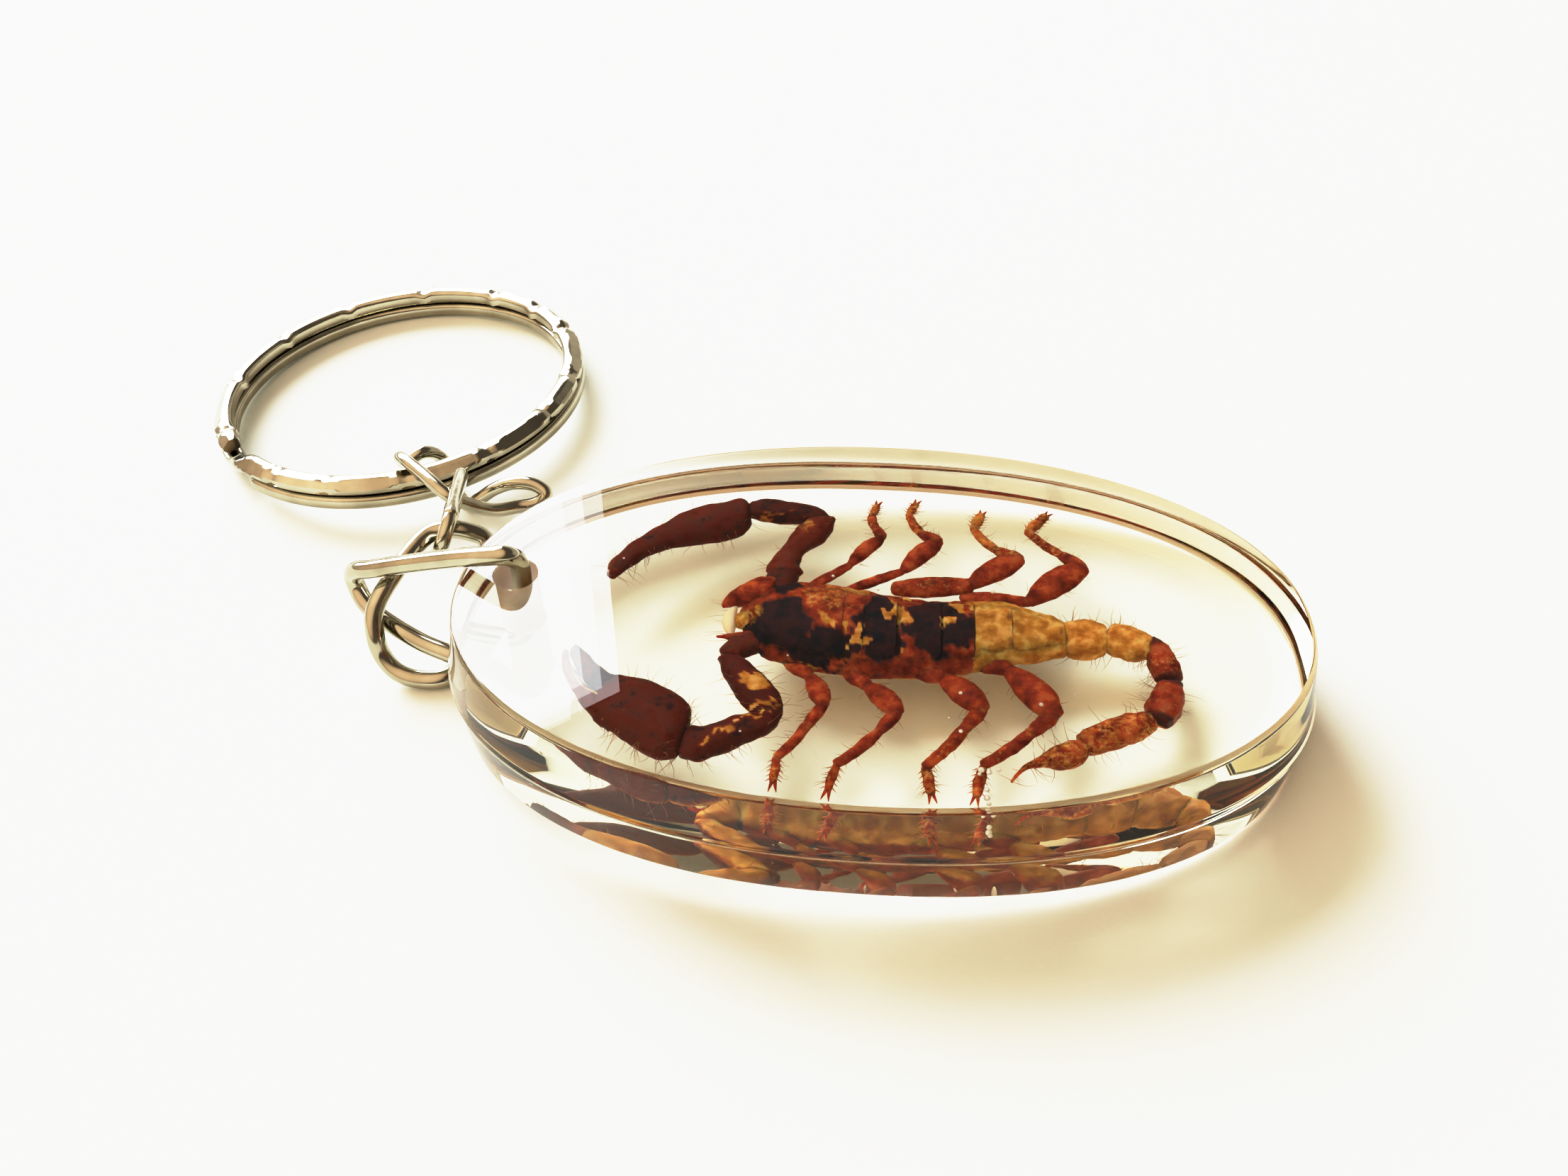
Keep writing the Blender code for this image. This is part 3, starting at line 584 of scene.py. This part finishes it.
# Each leg: its six joints from the hip to the tip of the foot, the widest half-width of each of its five parts,
# and how gold it is
LEGS = [
    ([(-4.9, 3.2), (-1.9, 5.75), (0.15, 8.3), (-0.25, 9.4), (-0.6, 11.1), (-0.3, 12.4)],
     (0.42, 0.58, 0.40, 0.36, 0.30), 0.1),
    ([(-2.2, 3.4), (1.7, 5.4), (4.0, 8.15), (2.9, 9.0), (1.95, 11.4), (2.4, 12.7)],
     (0.42, 0.75, 0.48, 0.36, 0.32), 0.15),
    ([(1.2, 3.9), (6.1, 4.3), (9.4, 6.75), (7.9, 7.7), (6.4, 10.15), (6.95, 11.8)],
     (0.9, 0.95, 0.50, 0.38, 0.40), 0.22),
    ([(5.6, 3.4), (9.9, 3.0), (13.5, 6.2), (12.2, 7.5), (10.1, 10.1), (11.4, 11.95)],
     (0.6, 1.05, 0.50, 0.38, 0.42), 0.12),
    ([(-5.4, -2.9), (-3.9, -4.3), (-2.85, -6.9), (-3.7, -8.4), (-5.35, -10.6), (-5.4, -12.3)],
     (0.6, 0.68, 0.42, 0.36, 0.30), 0.0),
    ([(-1.6, -3.4), (-0.3, -4.9), (1.65, -7.2), (0.6, -8.6), (-1.8, -10.9), (-2.2, -12.7)],
     (0.65, 0.78, 0.44, 0.40, 0.30), 0.0),
    ([(2.5, -3.0), (4.3, -3.9), (6.7, -6.6), (5.7, -8.0), (3.4, -10.75), (3.75, -12.5)],
     (0.8, 0.95, 0.48, 0.42, 0.36), 0.05),
    ([(6.0, -2.0), (8.4, -3.0), (11.0, -6.75), (9.6, -8.1), (6.75, -10.4), (6.35, -12.5)],
     (0.8, 1.08, 0.52, 0.44, 0.36), 0.0)]
LEG_HEIGHTS = (3.75, 4.15, 4.7, 4.35, 3.65, 3.35)
SWELL = {
    "hip": (0.7, 0.95, 1.0, 0.9, 0.7), "thigh": (0.45, 0.82, 1.0, 0.96, 0.6),
    "knee": (0.8, 1.0, 1.0, 0.95, 0.75), "shin": (0.85, 1.0, 0.95, 0.9, 0.8),
    "foot": (0.62, 0.9, 1.0, 0.9, 0.8)}
# How much more gold, and how dark, each part of a leg is
LEG_GOLD, LEG_DARK = (0.1, 0.0, 0.16, 0.26, 0.36), (0.12, 0.2, 0.0, 0.0, 0.0)


def make_leg(piece, joints, widths, gold, seed):
    """Five swelling parts, then two claws and a row of spines along each side of the foot"""
    pts = [Vector((x, y, z)) for (x, y), z in zip(joints, LEG_HEIGHTS)]
    for k, (part, width) in enumerate(zip(SWELL, widths)):
        a, b = pts[k], pts[k + 1]
        bow = UP.cross(b - a).normalized() * (0.12 if k in (1, 3) else 0.0)
        rows = []
        for i, swell in enumerate(SWELL[part]):
            t = i / 4
            p = a.lerp(b, t * 0.98 + 0.01) + bow * math.sin(math.pi * t)
            rows.append((p.x, p.y, p.z, width * swell))
        flat = 0.8 if k < 2 else 0.9
        bm = loft(domed(along_line(rows, 4, flat), 0.55, 0.55), 18)
        roughen(bm, 0.5, 0.07, seed + k)
        roughen(bm, 0.16, 0.02, seed + k * 2.0)
        middle = (a.z + b.z) / 2
        piece.add(bm, *gold_dark_and_painted_underside_light(gold + LEG_GOLD[k], LEG_DARK[k], middle - 0.1))
    way = (pts[5] - pts[4]).normalized()
    side = UP.cross(way).normalized()
    for lean in (-1.0, 1.0):
        tip = pts[5] + way * 0.7 + side * lean * 0.24 - UP * 0.1
        middle = pts[5] + way * 0.38 + side * lean * 0.16
        rows = [(*(pts[5] + side * lean * 0.08), 0.13), (*middle, 0.085), (*tip, 0.025)]
        piece.add(loft(domed(along_line(rows, 4), 0.3, 0.3, 2), 8), 0.0, 0.1)
    for i in range(5):
        root = pts[4].lerp(pts[5], 0.15 + 0.19 * i)
        for lean in (-1.0, 1.0):
            start = root + side * lean * widths[4] * 0.8
            tip = start + side * lean * 0.26 + way * 0.2
            piece.add(loft(along_line([(*start, 0.045), (*tip, 0.012)], 2), 5), 0.1, 0.0)


def worn_ends(rows, dark):
    """Darker bands at both ends of a tail segment, where it joins the next"""
    ends = [Vector(((r[0] + r[2]) / 2, (r[1] + r[3]) / 2, r[4])) for r in (rows[0], rows[-1])]
    way = (ends[1] - ends[0]).normalized()

    def shade(p):
        inside = min((p - ends[0]).dot(way), (ends[1] - p).dot(way))
        return dark + 0.38 * held(1.3 - inside / 0.3)
    return shade


def pale_tips(p):
    """More gold towards the tips of the pincers"""
    return 0.1 + 0.25 * held((-16.2 - p.x) / 1.6)


def make_specimen():
    piece = Piece("scorpion_shell", IN_BLOCK)
    make_trunk(piece)
    for rows, gold, dark in ((JAW_FAR, 0.12, 0.15), (JAW_MIDDLE, 0.6, 0.0), (JAW_NEAR, 0.15, 0.35)):
        bm = loft(domed(between_edges(rows, 5), 0.2, 0.3), 22)
        roughen(bm, 0.45, 0.1, gold)
        piece.add(bm, gold, dark)
    piece.add(loft(domed(along_line(PALE_SKIN, 5), 0.4, 0.4), 12), 1.8, 0.0)
    for arm in (FAR_ARM, NEAR_ARM):
        for i, (rows, dark) in enumerate(arm):
            bm = loft(domed(between_edges(rows, 6), 0.25, 0.3), 28, square=0.9)
            roughen(bm, 0.7, 0.13, i * 2.0)
            roughen(bm, 0.22, 0.035, i * 5.0)
            piece.add(bm, *gold_dark_and_painted_underside_light(ARM_GOLD, dark))
    for i, (rows, dark) in enumerate(((FAR_HAND, 0.56), (NEAR_HAND, 0.56), (FIXED_FINGER, 0.7),
                                      (MOVING_FINGER, 0.55))):
        bm = loft(domed(between_edges(rows, 7), 0.35, 0.5), 36, square=0.95)
        roughen(bm, 1.1, 0.12, i * 4.0)
        roughen(bm, 0.25, 0.03, i * 2.2)
        piece.add(bm, *gold_dark_and_painted_underside_light(pale_tips, dark, 3.5))
    for i, (rows, gold, dark) in enumerate(TAIL):
        square, lumps = (0.88, 0.12) if i < len(TAIL) - 1 else (1.0, 0.05)
        bm = loft(domed(between_edges(rows, 6), 0.22, 0.22), 32, square=square)
        roughen(bm, 0.5, lumps, i * 3.0)
        roughen(bm, 0.18, 0.03, i * 1.3)
        piece.add(bm, *gold_dark_and_painted_underside_light(gold, worn_ends(rows, dark)))
    piece.add(loft(domed(along_line(FINGER_SLIT, 6), 0.3, 0.3, 2), 8), 0.75, 0.0)
    for i, (joints, widths, gold) in enumerate(LEGS):
        make_leg(piece, joints, widths, gold, i * 6.0)
    piece.finish("block", SHELL, ("scorpion",), sharp=75.0)


def make_hairs():
    """Fine bristles that stand out from the edges of the pincers, legs and tail"""
    pick = random.Random(4)
    piece = Piece("scorpion_hairs", IN_BLOCK)

    def bristle(root, way, length, thick):
        bend = Vector((pick.uniform(-1, 1), pick.uniform(-1, 1), pick.uniform(-1, 1))) * length * 0.12
        middle, tip = root + way * length * 0.5 + bend, root + way * length
        rows = [(*root, thick), (*middle, thick * 0.7), (*tip, thick * 0.25)]
        piece.add(loft(along_line(rows, 2), 4), 0.8, 0.0)

    for rows, count, longest in ((FAR_HAND, 60, 1.3), (NEAR_HAND, 60, 1.5), (FAR_ARM[1][0], 18, 1.0),
                                 (NEAR_ARM[1][0], 26, 1.2), (NEAR_ARM[2][0], 26, 1.2), (FIXED_FINGER, 16, 0.8),
                                 (MOVING_FINGER, 14, 0.7), *((seg[0], 22, 1.3) for seg in TAIL)):
        sections = between_edges(rows, 6)
        for _ in range(count):
            centre, side, top = pick.choice(sections[2:-1])
            turn = pick.choice((0.0, math.pi)) + pick.gauss(0.0, 0.5)
            out = side * math.cos(turn) + top * math.sin(turn)
            way = (out.normalized() + Vector((pick.gauss(0, 0.4), pick.gauss(0, 0.4), 0.1))).normalized()
            bristle(centre + out * 0.93, way, longest * pick.uniform(0.4, 1.3), 0.02)
    for joints, widths, _ in LEGS:
        pts = [Vector((x, y, z)) for (x, y), z in zip(joints, LEG_HEIGHTS)]
        for k, count in ((1, 7), (2, 7), (3, 9), (4, 8)):
            way = (pts[k + 1] - pts[k]).normalized()
            side = UP.cross(way).normalized()
            for _ in range(count):
                lean = pick.choice((-1.0, 1.0))
                root = pts[k].lerp(pts[k + 1], pick.uniform(0.1, 0.95)) + side * lean * widths[k] * 0.8
                out = (side * lean + way * pick.uniform(0.1, 0.9) + UP * pick.gauss(0, 0.3)).normalized()
                bristle(root, out, pick.uniform(0.3, 0.9), 0.019)
    for _ in range(16):
        root = Vector((-9.3, pick.uniform(-1.6, 2.2), 4.0))
        bristle(root, Vector((-1.0, pick.gauss(0, 0.4), 0.1)).normalized(), pick.uniform(0.6, 1.8), 0.018)
    piece.finish("block", plain_finish("brown_bristle", (0.36, 0.17, 0.07), 0.5))


# Air bubbles: x and y as they show on the specimen's middle height, and radius. The first FOOT_BUBBLES are
# round one foot. A bubble higher up is shifted by SLANT for each millimetre, so that it shows in the same place
FOOT_BUBBLES, BODY_REACH, MIDDLE_HEIGHT, SLANT = 7, 9.5, 4.0, 0.547
BUBBLES = [
    (6.6, -10.9, 0.20), (7.05, -11.05, 0.17), (7.6, -10.8, 0.16), (6.9, -12.3, 0.17), (6.9, -12.9, 0.20),
    (7.0, -13.3, 0.15), (6.5, -11.2, 0.12), (-11.4, -8.2, 0.13), (-14.8, -6.4, 0.09), (-7.6, -8.9, 0.08),
    (-6.7, -0.1, 0.08), (-5.3, -2.6, 0.07), (-0.6, 2.1, 0.13), (-17.9, 4.2, 0.11), (-17.0, 5.5, 0.08),
    (7.5, 3.9, 0.16), (10.2, -5.6, 0.15), (5.4, -5.0, 0.13), (5.4, -8.0, 0.13), (-2.9, 4.7, 0.12),
    (-12.1, -9.8, 0.07), (-13.4, -7.9, 0.07), (4.7, -7.0, 0.06), (12.2, -4.7, 0.06), (0.1, 3.6, 0.08)]


def make_bubbles():
    """Tiny trapped bubbles against the specimen, coloured white: a painted glint for the light they catch"""
    piece = Piece("resin_bubbles", IN_BLOCK)
    for i, (x, y, radius) in enumerate(BUBBLES):
        if i < FOOT_BUBBLES:
            height = 4.3
        else:
            height = 5.2 if abs(y) < BODY_REACH else MIDDLE_HEIGHT
        at = Matrix.Translation((x, y - SLANT * (height - MIDDLE_HEIGHT), height))
        bm = bmesh.new()
        bmesh.ops.create_uvsphere(bm, u_segments=16, v_segments=10, radius=radius, matrix=at)
        piece.add(bm)
    # The near-white colour is a painted glint, standing in for the light that the trapped bubbles catch and
    # throw back
    white_bubble_glint = plain_finish("air_pocket_painted_glint", (1.0, 0.98, 0.95), 0.08, Specular_IOR_Level=1.0, Coat_Weight=1.0,
                       Coat_IOR=1.6)
    piece.finish("block", white_bubble_glint)


# ------------------------------------------------------------------ bail, links and ring, in table millimetres

BAIL_PATH = [
    (-23.1, 1.35, 6.0), (-22.95, 1.6, 8.0), (-22.8, 1.75, 9.7), (-22.75, 1.4, 11.0), (-23.2, 0.95, 11.85),
    (-24.3, 1.05, 11.7), (-26.7, 1.8, 10.8), (-30.5, 2.95, 9.2), (-34.1, 4.0, 7.6), (-35.5, 4.6, 6.9),
    (-36.3, 5.15, 5.9), (-36.3, 5.1, 4.9), (-35.7, 4.4, 4.0), (-34.5, 3.6, 3.35), (-31.5, 2.0, 2.75),
    (-29.2, 1.1, 2.5), (-28.3, 1.0, 2.2), (-27.2, 0.9, 1.3), (-25.4, 0.85, 0.9), (-24.0, 0.9, 0.85),
    (-23.35, 1.0, 1.4), (-23.2, 1.1, 2.6), (-23.15, 1.3, 5.4)]
BAIL_LINK_PATH = [
    (-31.4, 0.2, 0.72), (-33.0, 0.6, 1.0), (-34.0, 1.2, 2.0), (-34.3, 1.75, 3.5), (-34.25, 2.8, 4.9),
    (-33.4, 4.7, 6.0), (-32.4, 7.0, 6.6), (-31.5, 8.5, 6.85), (-30.3, 9.0, 6.85), (-29.0, 9.2, 6.5),
    (-27.8, 9.2, 5.6), (-27.6, 7.6, 4.0), (-28.1, 5.2, 2.3), (-28.7, 3.2, 1.1), (-29.0, 1.6, 0.7),
    (-29.7, 0.4, 0.68)]
MIDDLE_LINK_ENDS = (Vector((-30.35, 8.85, 6.95)), Vector((-31.9, 15.2, 4.65)))
MIDDLE_LINK_ACROSS = Vector((0.40, 0.25, 0.88))
MIDDLE_LINK_HALF_WIDTH = 1.6
JUMP_RING_PATH = [
    (-37.55, 20.5, 3.6), (-37.4, 19.6, 4.85), (-36.45, 18.5, 5.35), (-35.2, 17.4, 5.35),
    (-33.6, 15.95, 5.3), (-32.3, 15.05, 4.9), (-31.0, 15.4, 3.7), (-29.6, 16.2, 2.5), (-28.2, 17.3, 1.9),
    (-26.7, 17.8, 1.9), (-25.9, 18.2, 2.5), (-26.9, 18.7, 3.0), (-28.6, 18.85, 3.0), (-30.2, 18.8, 2.4),
    (-31.5, 18.75, 1.5), (-32.6, 19.0, 0.75), (-33.7, 20.2, 0.58), (-34.5, 21.6, 0.62), (-35.0, 22.5, 1.6),
    (-35.6, 22.3, 3.0), (-36.4, 21.5, 3.8)]
THICK_WIRE, THIN_WIRE = 0.65, 0.525


def middle_link_path():
    """Two half circles and the straights between them"""
    near, far = MIDDLE_LINK_ENDS
    along = (far - near).normalized()
    across = (MIDDLE_LINK_ACROSS - along * along.dot(MIDDLE_LINK_ACROSS)).normalized()
    run = []
    for centre, start in ((far, 90.0), (near, 270.0)):
        for k in range(7):
            turn = math.radians(start - 30.0 * k)
            out = along * math.cos(turn) + across * math.sin(turn)
            run.append(tuple(centre + out * MIDDLE_LINK_HALF_WIDTH))
    return run


def make_wire(name, path, radius, closed, node):
    """Wire bent along the path. The cut ends of an open one are drawn in a little"""
    sections = along_wire(path, 7, radius, closed)
    if not closed:
        for end in (0, -1):
            centre, side, top = sections[end]
            sections[end] = (centre, side * 0.86, top * 0.86)
    piece = Piece(name, ON_TABLE)
    piece.add(loft(sections, 24, closed))
    piece.finish(node, NICKEL[node + "_nickel"], (node,))


# The ring's middle, how many degrees it leans, and the heading of its raised side
RING_MIDDLE, RING_LEAN, RING_RAISED_AT = Vector((-41.7, 32.7, 0.0)), 2.75, -62.0
RING_OUTER, RING_BAND, COIL_HIGH, COIL_GAP = 15.7, 1.65, 1.22, 0.14
COIL_RISE = COIL_HIGH + COIL_GAP
RING_STEPS, RING_SIDES, RING_SQUARE = 528, 32, 0.6
WIRE_END_CUT = (0.1125, 0.075)
# Where the lower coil climbs to the upper one, and over how many degrees
STEP_AT, STEP_SPAN = -133.0, 16.0
# Where one filed facet of the upper coil meets the next, in degrees round the ring
NOTCHES = (-149, -114, -96, -71, -46, -21, 0, 31, 50, 70, 98, 126, 152, 180)
# How a facet faces, outwards and up, and how deep it bites. Then how many degrees a nick reaches, and its depth
FACET_OUT, FACET_UP, FACET_BITE = 0.64, 0.77, 0.25
NICK_REACH, NICK_DEPTH = 3.0, 0.2


def heading(angle):
    """Level direction at so many radians round from +X"""
    return Vector((math.cos(angle), math.sin(angle), 0.0))


def file_facet(v):
    """Bring a point of the upper coil back to the facet over it, and into the nick if it is beside a notch"""
    angle = math.degrees(math.atan2(v.co.y, v.co.x))
    after = min(n for n in NOTCHES + (NOTCHES[0] + 360,) if n > angle)
    before = max(n for n in (NOTCHES[-1] - 360,) + NOTCHES if n <= angle)
    middle, half = math.radians((before + after) / 2), math.radians((after - before) / 2)
    face = heading(middle) * FACET_OUT + UP * FACET_UP
    top = COIL_RISE + COIL_HIGH
    limit = RING_OUTER * math.cos(half) * FACET_OUT + top * FACET_UP - FACET_BITE
    v.co -= face * max(0.0, v.co.dot(face) - limit)
    nick = max(0.0, 1.0 - min(after - angle, angle - before) / NICK_REACH)
    v.co -= (heading(math.radians(angle)) + UP) * nick * NICK_DEPTH


def make_split_ring():
    """Flat-sided wire wound twice round, with a row of shallow facets filed along its outer top edge"""
    half_w, half_h = RING_BAND / 2, COIL_HIGH / 2
    start = STEP_AT + STEP_SPAN / 2
    total = 720.0 - STEP_SPAN
    sections = []
    for k in range(RING_STEPS + 1):
        turned = total * k / RING_STEPS
        climb = held((turned - (360.0 - STEP_SPAN)) / STEP_SPAN)
        out = heading(math.radians(start + turned))
        cut_w, cut_h = WIRE_END_CUT if k in (0, RING_STEPS) else (0.0, 0.0)
        centre = out * (RING_OUTER - half_w) + UP * (half_h + COIL_RISE * climb * climb * (3 - 2 * climb))
        sections.append((centre, out * (half_w - cut_w), UP * (half_h - cut_h)))
    bm = loft(sections, RING_SIDES, square=RING_SQUARE)
    for v in bm.verts:
        if v.co.z > COIL_RISE + half_h * 0.6:
            file_facet(v)
    way = heading(math.radians(RING_RAISED_AT))
    low_side = way * -RING_OUTER
    lean = (Matrix.Translation(low_side) @ Matrix.Rotation(-math.radians(RING_LEAN), 4, UP.cross(way))
            @ Matrix.Translation(-low_side))
    bm.transform(Matrix.Translation(RING_MIDDLE) @ lean)
    piece = Piece("coiled_ring", ON_TABLE)
    piece.add(bm)
    piece.finish("split_ring", NICKEL["ring_nickel"], ("split_ring",), sharp=24.0)


# ------------------------------------------------------------------ floor, light and camera

def make_floor():
    """Sheet of white paper, a hair below the object so that the two don't touch"""
    bm = bmesh.new()
    bmesh.ops.create_grid(bm, x_segments=1, y_segments=1, size=1.6)
    bmesh.ops.translate(bm, verts=bm.verts[:], vec=(0.0, 0.2, -0.00001))
    mesh = bpy.data.meshes.new("paper_floor")
    bm.to_mesh(mesh)
    bm.free()
    made = Finish("white_paper", Roughness=0.9, Specular_IOR_Level=0.1)
    tone = made.ramp(made.cloud(14.0), [(0.3, (0.79, 0.83, 0.79)), (0.7, (0.83, 0.87, 0.83))])
    made.to_shader(tone, "Base Color")
    made.bump(made.cloud(1500.0, 4.0), 0.5, 0.00006)
    mesh.materials.append(made.mat)
    floor = bpy.data.objects.new("paper_floor", mesh)
    bpy.context.scene.collection.objects.link(floor)


# Widths and heights of the side light's three boxes, and the power of each for its area
SIDE_LIGHT_SIZES, SIDE_LIGHT_POWER = ((1.06, 1.19), (1.12, 1.25), (1.18, 1.31)), 11.5


def soft_box(name, at, aim, width, height, power, colour):
    light = bpy.data.lights.new(name, "AREA")
    light.shape = "RECTANGLE"
    light.size, light.size_y = width, height
    light.energy = power
    light.color = colour
    ob = bpy.data.objects.new(name, light)
    bpy.context.scene.collection.objects.link(ob)
    ob.location = at
    ob.rotation_euler = (Vector(aim) - Vector(at)).to_track_quat("-Z", "Y").to_euler()


def make_light():
    """A large side light, nested in three so that its edge is soft, and warm light from overhead"""
    for k, (width, height) in enumerate(SIDE_LIGHT_SIZES):
        soft_box("window_light_%d" % k, (-0.77 - k * 0.002, 0.92 + k * 0.0024, 0.87), (0.0, 0.0, 0.87),
                 width, height, SIDE_LIGHT_POWER * width * height, (0.94, 0.985, 1.0))
    world = bpy.data.worlds.new("studio")
    bpy.context.scene.world = world
    world.use_nodes = True
    made = Nodes(world.node_tree)
    place = made.node("TexCoord").outputs["Generated"]
    lean = made.node("VectorMath", {0: place, 1: Vector((-0.55, -0.35, 0.76)).normalized()},
                     operation="DOT_PRODUCT")
    overhead = made.ramp(lean.outputs["Value"], [
        (0.30, (0.10, 0.085, 0.065)), (0.48, (0.11, 0.08, 0.055)),
        (0.72, (0.70, 0.54, 0.38)), (1.0, (0.95, 0.76, 0.56))])
    # Pale light low down behind the object, which shows through the sides of the block
    parts = made.node("SeparateXYZ", {0: place})
    low_down = made.ramp(parts.outputs["Z"], [(0.40, (0.42, 0.38, 0.31)), (0.56, (0.0, 0.0, 0.0))])
    behind = made.span(parts.outputs["Y"], -0.1, 0.3)
    both = made.node("Mix", data_type="RGBA", blend_type="LIGHTEN")
    for socket, value in ((0, behind), (6, overhead), (7, low_down)):
        made.links.new(value, both.inputs[socket])
    sky = made.nodes["Background"]
    made.links.new(both.outputs[2], sky.inputs["Color"])
    sky.inputs["Strength"].default_value = 1.3


def make_camera():
    data = bpy.data.cameras.new("view")
    data.lens, data.sensor_width = 32.135, 36.0
    data.clip_start, data.clip_end = 0.001, 10.0
    camera = bpy.data.objects.new("view", data)
    bpy.context.scene.collection.objects.link(camera)
    right = Vector((0.99472, 0.08563, -0.05663))
    back = Vector((0.10101, -0.71799, 0.68868))
    over = back.cross(right)
    turn = Matrix((right, over, back)).transposed().to_4x4()
    camera.matrix_world = Matrix.Translation((0.018245, -0.078843, 0.070766)) @ turn
    bpy.context.scene.camera = camera


# How much light reaches the camera, and how bright it shows in the picture
TONE_CURVE = ((0.0, 0.0), (0.1, 0.11), (0.2, 0.25), (0.33, 0.48), (0.46, 0.72), (0.66, 0.89), (1.0, 0.945),
               (1.6, 0.975), (2.5, 1.0))


def develop():
    """Bright, airy picture: the middle tones lifted and the highlights rolled off softly"""
    view = bpy.context.scene.view_settings
    view.view_transform = "Standard"
    view.use_curve_mapping = True
    curve = view.curve_mapping
    curve.use_clip = False
    points = curve.curves[3].points
    points[0].location, points[1].location = TONE_CURVE[0], TONE_CURVE[-1]
    for spot in TONE_CURVE[1:-1]:
        points.new(*spot)
    curve.update()
    # Light that has bounced off the paper goes through the resin without being blurred
    bpy.context.scene.cycles.blur_glossy = 0.0


make_camera()
make_light()
make_floor()
make_block()
make_specimen()
make_hairs()
make_bubbles()
make_wire("bent_bail", BAIL_PATH, THICK_WIRE, False, "bail")
make_wire("wire_link", BAIL_LINK_PATH, THICK_WIRE, True, "bail_link")
make_wire("oval_link", middle_link_path(), THIN_WIRE, True, "middle_link")
make_wire("bent_jump_ring", JUMP_RING_PATH, THIN_WIRE, True, "jump_ring")
make_split_ring()
develop()
